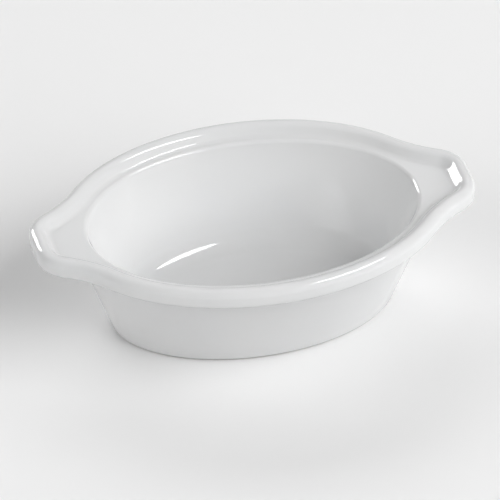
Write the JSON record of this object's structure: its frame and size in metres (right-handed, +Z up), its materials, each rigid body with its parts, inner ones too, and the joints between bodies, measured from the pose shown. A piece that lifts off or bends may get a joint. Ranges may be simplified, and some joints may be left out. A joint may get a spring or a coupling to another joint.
{
  "type": "oval eared baking dish",
  "caption": "Small oval porcelain baking dish with an ear at each end, a rolled rim, a sunken ledge inside it, a tapered bowl and a flat foot ring.",
  "frame": {"origin": "centre of the foot ring, on the plane that the dish stands on", "axes": "+X along the oval's length from ear to ear, +Z up out of the bowl"},
  "size_m": [0.14, 0.0864, 0.039],
  "materials": {
    "white_glaze": "clear gloss glaze over white porcelain"
  },
  "bodies": {
    "root": {"dish": "white_glaze"}
  },
  "joints": []
}
